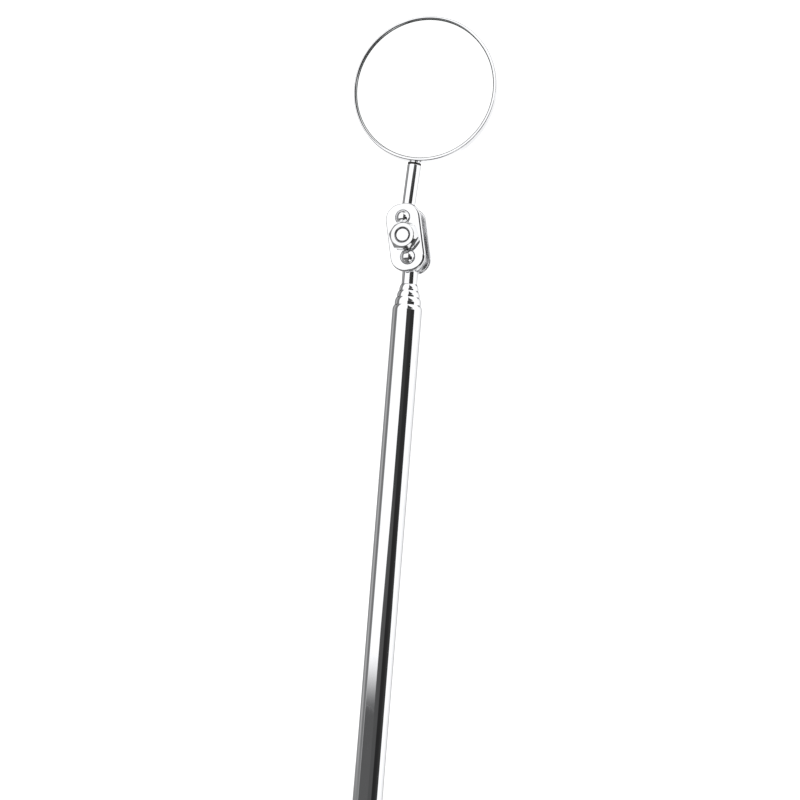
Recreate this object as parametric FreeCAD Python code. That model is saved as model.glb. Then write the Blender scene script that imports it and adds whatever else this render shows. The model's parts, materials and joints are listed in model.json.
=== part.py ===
import FreeCAD, Part
import math
import os

# Telescoping inspection mirror: a round mirror on a double ball link and a five section telescope.
# Lengths are in millimetres and angles in degrees.  The origin is the centre of the outer tube's
# butt end, +Z runs up the tube, and the mirror faces -Y.  The telescope is closed up.

# Telescope, outermost section first
SECTION_DIAMETERS = (6.8, 6.0, 5.2, 4.4, 3.6)
TUBE_WALL = 0.22
HANDLE_LENGTH = 116.0                   # outer tube, butt end to mouth
MOUTH_STEPS = (0.0, 1.75, 3.2, 4.65)    # each mouth above the outer tube's mouth
NECK_LENGTH = 1.15                      # rounded shoulder below a mouth
NECK_LAND = 0.4                         # straight bore of a mouth
LIP_WIDTH = 0.04                        # flat on top of a mouth
SLIDING_GAP = 0.03                      # radial gap between a section and the mouth round it

# Bottom end of each inner section: a plug, two friction half shells and a bead above them
FIRST_TAIL = 9.0                        # bottom edge of section 2
TAIL_PITCH = 5.0                        # each next section starts this much higher
FLANGE_THICKNESS = 1.0
FLANGE_OVERHANG = 0.1                   # flange outside the tube that it closes
STOP_GAP = 0.05                         # left between a flange and the plug that it lands on
SHELL_LENGTH = 19.0
SHELL_THICKNESS = 0.15
SHELL_GAP = 0.015                       # radial gap inside and outside a shell
SHELL_SPLIT = 8.0                       # angle of each slit between the half shells
END_GAP = 0.1                           # axial play at each end of a shell
BEAD_LENGTH = 1.2
BEAD_HEIGHT = 0.1

# Butt plug
BUTT_RIM_HEIGHT = 0.6
BUTT_DOME_HEIGHT = 0.9

# Double pivot link: two balls between two plates
LOWER_BALL_HEIGHT = 126.3               # centre of the lower ball
BALL_SPACING = 8.8
BALL_RADIUS = 2.85
SEAT_GAP = 0.03
PLATE_LENGTH = 15.0
PLATE_WIDTH = 7.9
PLATE_CORNER_RADIUS = 3.4
PLATE_THICKNESS = 1.1
PLATE_OUTER_FACE = 3.3                  # from the link's middle plane
PLATE_EDGE_ROUND = 0.5
PLATE_BACK_ROUND = 0.4
BALL_HOLE_RADIUS = 1.66
SCREW_HOLE_RADIUS = 1.55
BOSS_RADIUS = 1.63                      # domed bosses on the balls' sides, in the plates' holes
BOSS_DEPTH = 0.5                        # a dome's centre below the plate's outer face
BOSS_ROOT = 2.0                         # a boss's flat end, inside the ball

# Ball stud that plugs the top of the rod
STUD_NECK_RADIUS = 1.2
BALL_TO_ROD = 2.8                       # ball's centre to the rod's top
STUD_SHANK_LENGTH = 6.0
ROD_END_ROUND = 0.15

# M3 clamp screw and nut
SCREW_RADIUS = 1.5
SCREW_END = 5.6                         # from the link's middle plane
SCREW_CHAMFER = 0.18
HEAD_RADIUS = 2.75
HEAD_HEIGHT = 1.8
SLOT_WIDTH = 0.8
SLOT_DEPTH = 0.8
NUT_ACROSS_FLATS = 5.7
NUT_HEIGHT = 2.4
NUT_BORE_RADIUS = 1.53
NUT_BORE_MOUTH = 1.78
NUT_FACE_RADIUS = 2.35                  # flat face inside the crown
NUT_CROWN_ROUND = 0.4
NUT_CROWN_SLOPE = 50.0                  # of the crown's cone, from the flat face
NUT_SEAT_GAP = 0.02
NUT_TURN = 14.0                         # one corner, anticlockwise from the link's long axis

# Stem
BALL_TO_STEM = 3.0                      # ball's centre to the stem's lower shoulder
STEM_NECK_RADIUS = 1.1
STEM_BORE_RADIUS = 1.12
STEM_BORE_BOTTOM = 0.8                  # beyond the ball's centre
STEM_LOW_RADIUS = 1.5
STEM_TOP_RADIUS = 1.58
STEM_SHOULDER_ROUND = 0.3
STEM_END_ROUND = 0.12
STEM_END_GAP = 0.15                     # stem's top shoulder to the frame's side
SPIGOT_RADIUS = 1.2

# Mirror
BALL_TO_MIRROR = 29.07                  # upper ball's centre to the mirror's centre
FRAME_RADIUS = 16.0
FRAME_DEPTH = 3.0
FRAME_SHEET = 0.4
LIP_INNER_RADIUS = 15.35
FRONT_ROUND = 0.5
BACK_ROUND = 0.8
GLASS_RADIUS = 15.5
GLASS_THICKNESS = 1.9
GLASS_CHAMFER = 0.15
PAD_RADIUS = 14.6

# Stored pose
SCREW_AXIS_TURN = 15.4                  # from -Y towards -X
LINK_LEAN = 12.1                        # from the tube's axis, about the screw's axis
MIRROR_LEAN = -15.74                    # from the link's long axis, about the screw's axis
MIRROR_TWIST = 4.0                      # mirror's face from the screw's axis, about the stem

V = FreeCAD.Vector
ORIGIN = V(0, 0, 0)
UP = V(0, 0, 1)


def turned(vector, axis, angle):
    """The vector turned about an axis through the origin."""
    return FreeCAD.Rotation(axis, angle).multVec(vector)


def placed(shape, origin, up_axis, front_axis):
    """The shape moved from its own frame: its Y goes along up_axis and its Z along front_axis."""
    rotation = FreeCAD.Rotation(up_axis.cross(front_axis), up_axis, front_axis, "ZYX")
    copy = shape.copy()
    copy.Placement = FreeCAD.Placement(origin, rotation)
    return copy


# Directions and centres in the stored pose
SCREW_AXIS = turned(V(0, -1, 0), UP, -SCREW_AXIS_TURN)
LINK_AXIS = turned(UP, SCREW_AXIS, LINK_LEAN)
STEM_AXIS = turned(UP, SCREW_AXIS, LINK_LEAN + MIRROR_LEAN)
MIRROR_AXIS = turned(SCREW_AXIS, STEM_AXIS, MIRROR_TWIST)
LOWER_BALL = V(0, 0, LOWER_BALL_HEIGHT)
LINK_CENTRE = LOWER_BALL + LINK_AXIS * (BALL_SPACING / 2)
UPPER_BALL = LOWER_BALL + LINK_AXIS * BALL_SPACING
MIRROR_CENTRE = UPPER_BALL + STEM_AXIS * BALL_TO_MIRROR

# Telescope stations.  Sections are numbered from 1, the outer tube, to 5, the rod.
INNER_SECTIONS = (2, 3, 4, 5)
PLUG_LENGTH = TAIL_PITCH - FLANGE_THICKNESS - STOP_GAP
TAIL_STACK = END_GAP + SHELL_LENGTH + END_GAP + BEAD_LENGTH


def outer_radius(section):
    return SECTION_DIAMETERS[section - 1] / 2


def bore_radius(section):
    return outer_radius(section) - TUBE_WALL


def tail_height(section):
    return 0.0 if section == 1 else FIRST_TAIL + (section - 2) * TAIL_PITCH


def mouth_height(section):
    if section == 5:
        return LOWER_BALL_HEIGHT - BALL_TO_ROD
    return HANDLE_LENGTH + MOUTH_STEPS[section - 1]


def mouth_radius(section):
    return outer_radius(section + 1) + SLIDING_GAP


def travel(section):
    """How far a section slides out of the one round it before its bead meets the neck."""
    neck_underside = mouth_height(section - 1) - NECK_LENGTH
    return neck_underside - END_GAP - (tail_height(section) + TAIL_STACK)


class Outline:
    """A closed outline of lines and arcs in the (radius, height) plane."""

    def __init__(self, radius, height):
        self.start = self.here = V(radius, 0, height)
        self.edges = []

    def line(self, radius, height):
        end = V(radius, 0, height)
        self.edges.append(Part.LineSegment(self.here, end).toShape())
        self.here = end
        return self

    def arc(self, middle, end):
        middle, end = V(middle[0], 0, middle[1]), V(end[0], 0, end[1])
        self.edges.append(Part.Arc(self.here, middle, end).toShape())
        self.here = end
        return self

    def shoulder(self, radius, height, vertical_at_start=True):
        """An arc to a point, upright at its start or at its end."""
        upright = (self.here.x, self.here.z) if vertical_at_start else (radius, height)
        other = (radius, height) if vertical_at_start else (self.here.x, self.here.z)
        inward, rise = upright[0] - other[0], other[1] - upright[1]
        arc_radius = (rise ** 2 + inward ** 2) / (2 * inward)
        half_turn = math.atan2(inward, rise)
        middle = (upright[0] - arc_radius * (1 - math.cos(half_turn)),
                  upright[1] + arc_radius * math.sin(half_turn))
        return self.arc(middle, (radius, height))

    def solid(self, angle=360):
        """The outline revolved about Z."""
        if self.here.distanceToPoint(self.start) > 1e-6:
            self.line(self.start.x, self.start.z)
        face = Part.Face(Part.Wire(self.edges))
        return face.revolve(ORIGIN, UP, angle)


def quarter(centre, radius, from_angle, to_angle):
    """The middle and the end of an arc about a centre, for Outline.arc."""
    points = []
    for angle in ((from_angle + to_angle) / 2, to_angle):
        turn = math.radians(angle)
        points.append((centre[0] + radius * math.cos(turn), centre[1] + radius * math.sin(turn)))
    return points


def make_tube(section):
    """A drawn tube: a bead near an inner section's bottom, and a rolled-in neck on all but the rod."""
    outer, bore = outer_radius(section), bore_radius(section)
    bottom, top = tail_height(section), mouth_height(section)
    outline = Outline(bore, bottom).line(outer, bottom)
    if section > 1:
        bead_top = bottom + TAIL_STACK
        outline.line(outer, bead_top - BEAD_LENGTH)
        outline.arc((outer + BEAD_HEIGHT, bead_top - BEAD_LENGTH / 2), (outer, bead_top))
    if section == 5:
        outline.line(outer, top - ROD_END_ROUND)
        outline.arc(*quarter((outer - ROD_END_ROUND, top - ROD_END_ROUND), ROD_END_ROUND, 0, 90))
        return outline.line(bore, top).solid()
    mouth = mouth_radius(section)
    outline.line(outer, top - NECK_LENGTH).shoulder(mouth + LIP_WIDTH, top)
    outline.line(mouth, top).line(mouth, top - NECK_LAND)
    outline.shoulder(bore, top - NECK_LENGTH, vertical_at_start=False)
    return outline.solid()


def make_tail_plug(section):
    """A turned plug in the bottom of an inner section, with a flange under the tube's edge."""
    bore, bottom = bore_radius(section), tail_height(section)
    chamfer = 0.3
    outline = Outline(0, bottom - FLANGE_THICKNESS)
    outline.line(outer_radius(section) + FLANGE_OVERHANG, bottom - FLANGE_THICKNESS)
    outline.line(outer_radius(section) + FLANGE_OVERHANG, bottom).line(bore, bottom)
    outline.line(bore, bottom + PLUG_LENGTH - chamfer)
    outline.line(bore - chamfer, bottom + PLUG_LENGTH).line(0, bottom + PLUG_LENGTH)
    return outline.solid()


def make_friction_shells(section):
    """Two sprung half shells that ride round the bottom of an inner section."""
    inner = outer_radius(section) + SHELL_GAP
    outer = inner + SHELL_THICKNESS
    bottom = tail_height(section) + END_GAP
    top = bottom + SHELL_LENGTH
    outline = Outline(inner, bottom).line(outer, bottom).line(outer, top).line(inner, top)
    half = outline.solid(180 - SHELL_SPLIT)
    other_half = half.copy()
    other_half.rotate(ORIGIN, UP, 180)
    return Part.makeCompound([half, other_half])


def make_butt_plug():
    """The plug that closes the handle, with a domed end as wide as the tube."""
    rim, bore = outer_radius(1), bore_radius(1)
    bottom = -BUTT_RIM_HEIGHT - BUTT_DOME_HEIGHT
    top = FIRST_TAIL - FLANGE_THICKNESS - STOP_GAP
    chamfer = 0.4
    dome_radius = (rim ** 2 + BUTT_DOME_HEIGHT ** 2) / (2 * BUTT_DOME_HEIGHT)
    dome_angle = math.asin(rim / dome_radius) / 2
    middle = (dome_radius * math.sin(dome_angle), bottom + dome_radius * (1 - math.cos(dome_angle)))
    outline = Outline(0, bottom).arc(middle, (rim, -BUTT_RIM_HEIGHT)).line(rim, 0).line(bore, 0)
    outline.line(bore, top - chamfer).line(bore - chamfer, top).line(0, top)
    return outline.solid()


def with_bosses(ball, centre):
    """Adds the domed bosses on which a ball swings in the plates, along the clamp screw's axis."""
    dome_height = PLATE_OUTER_FACE - BOSS_DEPTH
    outline = Outline(0, BOSS_ROOT).line(BOSS_RADIUS, BOSS_ROOT).line(BOSS_RADIUS, dome_height)
    boss = outline.arc(*quarter((0, dome_height), BOSS_RADIUS, 0, 90)).solid()
    for side in (1, -1):
        ball = ball.fuse(placed(boss, centre, LINK_AXIS, SCREW_AXIS * side))
    return ball


def make_lower_ball():
    """A turned ball on a neck, with side bosses and a shank that plugs the top of the rod."""
    shank = bore_radius(5)
    shank_bottom = -BALL_TO_ROD - STUD_SHANK_LENGTH
    neck_junction = -math.sqrt(BALL_RADIUS ** 2 - STUD_NECK_RADIUS ** 2)
    outline = Outline(0, BALL_RADIUS).arc((BALL_RADIUS, 0), (STUD_NECK_RADIUS, neck_junction))
    outline.line(STUD_NECK_RADIUS, -BALL_TO_ROD).line(shank, -BALL_TO_ROD)
    outline.line(shank, shank_bottom).line(0, shank_bottom)
    return with_bosses(outline.solid().translated(LOWER_BALL), LOWER_BALL)


def make_plate(front=1):
    """A clamp plate in the link's frame, on its front side, or on its rear side if front is -1."""
    inner_face = PLATE_OUTER_FACE - PLATE_THICKNESS
    body = Part.makeBox(PLATE_WIDTH, PLATE_LENGTH, PLATE_THICKNESS,
                        V(-PLATE_WIDTH / 2, -PLATE_LENGTH / 2, inner_face))
    corners = [edge for edge in body.Edges if edge.BoundBox.ZLength > PLATE_THICKNESS / 2]
    body = body.makeFillet(PLATE_CORNER_RADIUS, corners)
    for face, radius in ((PLATE_OUTER_FACE, PLATE_EDGE_ROUND), (inner_face, PLATE_BACK_ROUND)):
        rim = [edge for edge in body.Edges if all(abs(v.Z - face) < 1e-6 for v in edge.Vertexes)]
        body = body.makeFillet(radius, rim)
    body = body.cut(Part.makeCylinder(SCREW_HOLE_RADIUS, PLATE_OUTER_FACE, ORIGIN))
    for side in (-1, 1):
        centre = V(0, side * BALL_SPACING / 2, 0)
        body = body.cut(Part.makeCylinder(BALL_HOLE_RADIUS, PLATE_OUTER_FACE, centre))
        body = body.cut(Part.makeSphere(BALL_RADIUS + SEAT_GAP, centre))
    return body if front > 0 else body.mirror(ORIGIN, UP)


def make_clamp_screw():
    """An M3 screw in the link's frame: a slotted pan head behind, its end in the nut in front."""
    under_head = -PLATE_OUTER_FACE
    head_end = under_head - HEAD_HEIGHT
    head_round = 0.9
    outline = Outline(0, head_end).line(HEAD_RADIUS - head_round, head_end)
    outline.arc(*quarter((HEAD_RADIUS - head_round, head_end + head_round), head_round, -90, 0))
    outline.line(HEAD_RADIUS, under_head).line(SCREW_RADIUS, under_head)
    outline.line(SCREW_RADIUS, SCREW_END - SCREW_CHAMFER)
    outline.line(SCREW_RADIUS - SCREW_CHAMFER, SCREW_END).line(0, SCREW_END)
    slot = Part.makeBox(3 * HEAD_RADIUS, SLOT_WIDTH, SLOT_DEPTH,
                        V(-1.5 * HEAD_RADIUS, -SLOT_WIDTH / 2, head_end))
    return outline.solid().cut(slot)


def make_clamp_nut():
    """A hexagon nut in the link's frame, chamfered at both faces."""
    bottom = PLATE_OUTER_FACE + NUT_SEAT_GAP
    top = bottom + NUT_HEIGHT
    corner = NUT_ACROSS_FLATS / math.sqrt(3)
    points = [turned(V(0, corner, bottom), UP, NUT_TURN + 60 * i) for i in range(7)]
    hexagon = Part.Face(Part.makePolygon(points)).extrude(UP * NUT_HEIGHT)
    slope = math.radians(NUT_CROWN_SLOPE)
    cone_start = NUT_FACE_RADIUS + NUT_CROWN_ROUND * math.sin(slope)
    round_drop = NUT_CROWN_ROUND * (1 - math.cos(slope))
    drop = round_drop + (corner - cone_start) * math.tan(slope)
    turning = Outline(NUT_BORE_MOUTH, bottom).line(NUT_FACE_RADIUS, bottom)
    turning.arc(*quarter((NUT_FACE_RADIUS, bottom + NUT_CROWN_ROUND), NUT_CROWN_ROUND,
                         -90, NUT_CROWN_SLOPE - 90))
    turning.line(corner, bottom + drop).line(corner, top - drop)
    turning.line(cone_start, top - round_drop)
    turning.arc(*quarter((NUT_FACE_RADIUS, top - NUT_CROWN_ROUND), NUT_CROWN_ROUND,
                         90 - NUT_CROWN_SLOPE, 90))
    turning.line(NUT_BORE_MOUTH, top)
    bore_cone = NUT_BORE_MOUTH - NUT_BORE_RADIUS
    turning.line(NUT_BORE_RADIUS, top - bore_cone).line(NUT_BORE_RADIUS, bottom + bore_cone)
    return hexagon.common(turning.solid())


def make_upper_ball():
    """A ball about the origin, bored along Z for the stem."""
    mouth = math.sqrt(BALL_RADIUS ** 2 - STEM_BORE_RADIUS ** 2)
    outline = Outline(0, -BALL_RADIUS).arc((BALL_RADIUS, 0), (STEM_BORE_RADIUS, mouth))
    outline.line(STEM_BORE_RADIUS, -STEM_BORE_BOTTOM).line(0, -STEM_BORE_BOTTOM)
    return outline.solid()


def make_stem():
    """The stem, with the upper ball's centre at the origin and the mirror's centre up Z."""
    neck_bottom = STOP_GAP - STEM_BORE_BOTTOM
    low_round = BALL_TO_STEM + STEM_SHOULDER_ROUND
    top = BALL_TO_MIRROR - FRAME_RADIUS - STEM_END_GAP
    inside = BALL_TO_MIRROR - FRAME_RADIUS + FRAME_SHEET
    outline = Outline(0, neck_bottom).line(STEM_NECK_RADIUS, neck_bottom)
    outline.line(STEM_NECK_RADIUS, BALL_TO_STEM)
    outline.line(STEM_LOW_RADIUS - STEM_SHOULDER_ROUND, BALL_TO_STEM)
    outline.arc(*quarter((STEM_LOW_RADIUS - STEM_SHOULDER_ROUND, low_round),
                         STEM_SHOULDER_ROUND, -90, 0))
    outline.line(STEM_TOP_RADIUS, top - STEM_END_ROUND)
    outline.arc(*quarter((STEM_TOP_RADIUS - STEM_END_ROUND, top - STEM_END_ROUND),
                         STEM_END_ROUND, 0, 90))
    outline.line(SPIGOT_RADIUS, top).line(SPIGOT_RADIUS, inside).line(0, inside)
    pan_inside = Part.makeCylinder(FRAME_RADIUS - FRAME_SHEET, 2 * FRAME_DEPTH,
                                   V(0, FRAME_DEPTH, BALL_TO_MIRROR), V(0, -1, 0))
    return outline.solid().cut(pan_inside)


def make_mirror_frame():
    """A pressed round pan in the mirror's frame, its rim rolled in over the glass."""
    back, front = -FRAME_DEPTH / 2, FRAME_DEPTH / 2
    inside = FRAME_RADIUS - FRAME_SHEET
    back_inner = BACK_ROUND - FRAME_SHEET
    lip_back = front - FRAME_SHEET
    outline = Outline(0, back).line(FRAME_RADIUS - BACK_ROUND, back)
    outline.arc(*quarter((FRAME_RADIUS - BACK_ROUND, back + BACK_ROUND), BACK_ROUND, -90, 0))
    outline.line(FRAME_RADIUS, front - FRONT_ROUND)
    outline.arc(*quarter((FRAME_RADIUS - FRONT_ROUND, front - FRONT_ROUND), FRONT_ROUND, 0, 90))
    outline.arc((LIP_INNER_RADIUS + 0.03, front - 0.06), (LIP_INNER_RADIUS, front - 0.15))
    outline.line(LIP_INNER_RADIUS, lip_back).line(inside, lip_back)
    outline.line(inside, back + BACK_ROUND)
    outline.arc(*quarter((inside - back_inner, back + BACK_ROUND), back_inner, 0, -90))
    outline.line(0, back + FRAME_SHEET)
    spigot_hole = Part.makeCylinder(SPIGOT_RADIUS, 1, V(0, 0.5 - FRAME_RADIUS, 0), V(0, -1, 0))
    return outline.solid().cut(spigot_hole)


def make_mirror_glass():
    """The round glass in the mirror's frame, against the rim's underside."""
    front = FRAME_DEPTH / 2 - FRAME_SHEET
    back = front - GLASS_THICKNESS
    outline = Outline(0, back).line(GLASS_RADIUS - GLASS_CHAMFER, back)
    outline.line(GLASS_RADIUS, back + GLASS_CHAMFER).line(GLASS_RADIUS, front - GLASS_CHAMFER)
    outline.line(GLASS_RADIUS - GLASS_CHAMFER, front).line(0, front)
    return outline.solid()


def make_adhesive_pad():
    """The foam pad between the pan's floor and the glass, in the mirror's frame."""
    floor = -FRAME_DEPTH / 2 + FRAME_SHEET
    glass_back = FRAME_DEPTH / 2 - FRAME_SHEET - GLASS_THICKNESS
    return Part.makeCylinder(PAD_RADIUS, glass_back - floor, V(0, 0, floor))


def in_link(shape):
    return placed(shape, LINK_CENTRE, LINK_AXIS, SCREW_AXIS)


def on_stem(shape):
    """Puts a piece that is turned about its Z on the stem's axis, at the upper ball's centre."""
    return placed(shape, UPPER_BALL, -MIRROR_AXIS, STEM_AXIS)


def in_mirror(shape):
    return placed(shape, MIRROR_CENTRE, STEM_AXIS, MIRROR_AXIS)


def make_nodes():
    """Every sub-part in its place, by node name."""
    nodes = {"outer_tube": make_tube(1), "butt_plug": make_butt_plug()}
    for section in INNER_SECTIONS:
        name = "rod" if section == 5 else f"tube_{section}"
        nodes[name] = make_tube(section)
        nodes[f"tail_plug_{section}"] = make_tail_plug(section)
        nodes[f"friction_shells_{section}"] = make_friction_shells(section)
    nodes["lower_ball"] = make_lower_ball()
    nodes["front_plate"] = in_link(make_plate())
    nodes["rear_plate"] = in_link(make_plate(front=-1))
    nodes["clamp_screw"] = in_link(make_clamp_screw())
    nodes["clamp_nut"] = in_link(make_clamp_nut())
    nodes["upper_ball"] = with_bosses(on_stem(make_upper_ball()), UPPER_BALL)
    nodes["stem"] = on_stem(make_stem())
    nodes["mirror_frame"] = in_mirror(make_mirror_frame())
    nodes["mirror_glass"] = in_mirror(make_mirror_glass())
    nodes["adhesive_pad"] = in_mirror(make_adhesive_pad())
    return nodes


def main():
    os.makedirs("parts", exist_ok=True)
    for name, shape in make_nodes().items():
        solids = shape.Solids
        state = "valid" if shape.isValid() else "NOT VALID"
        print(f"{name:20s} {len(solids)} solid(s) {shape.Volume:9.3f} mm3 {state}")
        shape.exportStep(f"parts/{name}.step")


if __name__ == "__main__":
    main()
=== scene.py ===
import json
import math

import bpy
from mathutils import Matrix, Vector
from mathutils.geometry import tessellate_polygon


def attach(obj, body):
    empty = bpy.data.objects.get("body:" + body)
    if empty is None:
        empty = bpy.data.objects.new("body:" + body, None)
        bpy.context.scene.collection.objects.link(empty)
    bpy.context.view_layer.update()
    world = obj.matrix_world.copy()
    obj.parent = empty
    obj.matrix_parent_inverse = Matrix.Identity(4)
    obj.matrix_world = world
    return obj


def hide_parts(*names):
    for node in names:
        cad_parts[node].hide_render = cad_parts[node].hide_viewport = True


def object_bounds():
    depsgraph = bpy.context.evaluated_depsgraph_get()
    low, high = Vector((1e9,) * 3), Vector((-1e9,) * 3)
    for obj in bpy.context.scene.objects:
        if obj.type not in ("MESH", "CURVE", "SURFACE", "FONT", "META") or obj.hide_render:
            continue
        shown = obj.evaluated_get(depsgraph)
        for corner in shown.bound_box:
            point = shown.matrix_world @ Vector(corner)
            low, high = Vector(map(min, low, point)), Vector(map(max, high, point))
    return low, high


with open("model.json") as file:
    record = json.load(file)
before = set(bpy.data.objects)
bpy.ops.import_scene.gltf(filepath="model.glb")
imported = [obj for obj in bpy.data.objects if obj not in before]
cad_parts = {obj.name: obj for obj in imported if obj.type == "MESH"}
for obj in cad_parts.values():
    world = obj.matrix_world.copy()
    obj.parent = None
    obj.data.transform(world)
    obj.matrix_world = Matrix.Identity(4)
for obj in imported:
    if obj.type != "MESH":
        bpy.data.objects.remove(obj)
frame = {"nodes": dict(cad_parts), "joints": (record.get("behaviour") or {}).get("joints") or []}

# Telescoping inspection mirror around its CAD frame.  Lengths in the tables are millimetres.

MM = 0.001
TURN_SEGMENTS = 192
FRAME_SEGMENTS = 384           # round the frame and the glass
HOLE_SEGMENTS = 96             # round small holes and the balls' bosses
cad_box = [list(corner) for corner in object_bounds()]

# Telescope
HANDLE_RADIUS = 3.4
TUBE_WALL = 0.22
NECK_LENGTH = 1.15
NECK_LAND = 0.4
LIP_WIDTH = 0.04
BEAD_TOP = 20.4                # above a section's bottom edge
BEAD_LENGTH = 1.2
BEAD_HEIGHT = 0.1
ROD_END_ROUND = 0.15
# node, body, outer radius, bottom, mouth height, mouth radius
TUBES = (
    ("outer_tube", "handle", HANDLE_RADIUS, 0.0, 116.0, 3.03),
    ("tube_2", "section_2", 3.0, 9.0, 117.75, 2.63),
    ("tube_3", "section_3", 2.6, 14.0, 119.2, 2.23),
    ("tube_4", "section_4", 2.2, 19.0, 120.65, 1.83),
    ("rod", "section_5", 1.8, 24.0, 123.5, None),
)

# Double ball link
BALL_RADIUS = 2.85
BALL_SPACING = 8.8
BALL_TO_ROD = 2.8
BALL_TO_STEM = 3.0
PLATE_LENGTH = 15.0
PLATE_WIDTH = 7.9
PLATE_CORNER_RADIUS = 3.4
PLATE_THICKNESS = 1.1
PLATE_OUTER_FACE = 3.3
PLATE_EDGE_ROUND = 0.36        # width of both edges' rounds, across the face
PLATE_EDGE_WEAR = 0.46         # how much wider they are on the right
PLATE_WEAR_SKEW = 0.15         # share of that lost towards the plate's top end
PLATE_ROUND_SKEW = 0.08        # how much narrower the rounds are at the top end
PLATE_EDGE_DROP = 0.34         # height of the rounds, down the edge
PLATE_EDGE_DROP_WEAR = 0.12    # how much higher they are on the right
SEAT_RADIUS = 2.88
BALL_HOLE_RADIUS = 1.66
BOSS_RADIUS = 1.63             # domed bosses on the balls' sides, in the plates' holes
BOSS_DEPTH = 0.5               # a dome's centre below the plate's outer face
BOSS_ROOT = 2.0
SCREW_HOLE_RADIUS = 1.55
HOLE_EDGE_ROUND = 0.1

# Screw and nut
SCREW_RADIUS = 1.5
SCREW_END = 5.6
SCREW_CHAMFER = 0.18
THREAD_PITCH = 0.5
THREAD_DEPTH = 0.27
HEAD_RADIUS = 2.75
HEAD_HEIGHT = 1.8
HEAD_ROUND = 0.9
SLOT_WIDTH = 0.8
SLOT_DEPTH = 0.8
LOBE_PARTS = 32                # segments round the head beside the slot
SLOT_PARTS = 4                 # and across each end of the slot
NUT_ACROSS_FLATS = 5.7
NUT_BOTTOM = 3.32
NUT_TOP = 5.72
NUT_BORE_RADIUS = 1.53
NUT_BORE_MOUTH = 1.78
NUT_FACE_RADIUS = 2.35
NUT_CROWN_ROUND = 0.4
NUT_CROWN_SLOPE = 50.0
NUT_TURN = 14.0

# Mirror and stem
BALL_TO_MIRROR = 29.07
FRAME_RADIUS = 16.0
FRAME_DEPTH = 3.0
FRAME_SHEET = 0.4
LIP_INNER_RADIUS = 15.38
LIP_ROUND = 0.12
RIM_ROUND = 0.22
RIM_SLOPE = (18.0, 28.0)       # the rim's face falls towards the glass, degrees outside and inside
BACK_ROUND = 0.8
GLASS_RADIUS = 15.5
GLASS_THICKNESS = 1.9
GLASS_CHAMFER = 0.15
SHADOW_LINE_RADIUS = 15.22            # a dark ring of painted shadow shows between the glass and the rim
MIRROR_TWIST = 4.0

# Directions and centres, from the joints
joints = {joint["name"]: joint for joint in frame["joints"]}
UP = Vector((0, 0, 1))
LOWER_BALL = Vector(joints["link_swing"]["pos_m"])
LINK_CENTRE = Vector(joints["nut_turn"]["pos_m"])
UPPER_BALL = Vector(joints["mirror_swing"]["pos_m"])
SCREW_AXIS = Vector(joints["nut_turn"]["axis"]).normalized()
STEM_AXIS = Vector(joints["mirror_twist"]["axis"]).normalized()
LINK_AXIS = (UPPER_BALL - LOWER_BALL).normalized()
MIRROR_AXIS = Matrix.Rotation(math.radians(MIRROR_TWIST), 3, STEM_AXIS) @ SCREW_AXIS
MIRROR_CENTRE = UPPER_BALL + STEM_AXIS * BALL_TO_MIRROR * MM


def placement(origin, up_axis, front_axis):
    """The matrix that puts local Y along up_axis and local Z along front_axis."""
    matrix = Matrix((up_axis.cross(front_axis), up_axis, front_axis)).transposed().to_4x4()
    matrix.translation = origin
    return matrix


IN_PLACE = Matrix.Identity(4)
AT_LOWER_BALL = Matrix.Translation(LOWER_BALL)
IN_LINK = placement(LINK_CENTRE, LINK_AXIS, SCREW_AXIS)
ON_STEM = placement(UPPER_BALL, -MIRROR_AXIS, STEM_AXIS)
IN_MIRROR = placement(MIRROR_CENTRE, STEM_AXIS, MIRROR_AXIS)


# ---------------------------------------------------------------- camera

CAMERA_AIM = Vector((0, 0, 0.09499))
CAMERA_DISTANCE = 0.2
CAMERA_PITCH = math.radians(0.28)
CAMERA_ROLL = math.radians(-4.61)
VIEW_WIDTH = 0.1773
SENSOR = 36


def make_camera():
    """A near view from the front, rolled a little."""
    forward = Vector((0, math.cos(CAMERA_PITCH), math.sin(CAMERA_PITCH)))
    roll = Matrix.Rotation(CAMERA_ROLL, 3, forward)
    right = roll @ Vector((1, 0, 0))
    up = right.cross(forward)
    camera = bpy.data.objects.new("camera", bpy.data.cameras.new("camera"))
    camera.data.sensor_width = SENSOR
    camera.data.lens = SENSOR * CAMERA_DISTANCE / VIEW_WIDTH
    camera.data.clip_start = 0.005
    camera.data.clip_end = 50
    matrix = Matrix((right, up, -forward)).transposed().to_4x4()
    matrix.translation = CAMERA_AIM - forward * CAMERA_DISTANCE
    camera.matrix_world = matrix
    bpy.context.scene.collection.objects.link(camera)
    bpy.context.scene.camera = camera


# ---------------------------------------------------------------- mesh building

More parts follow.
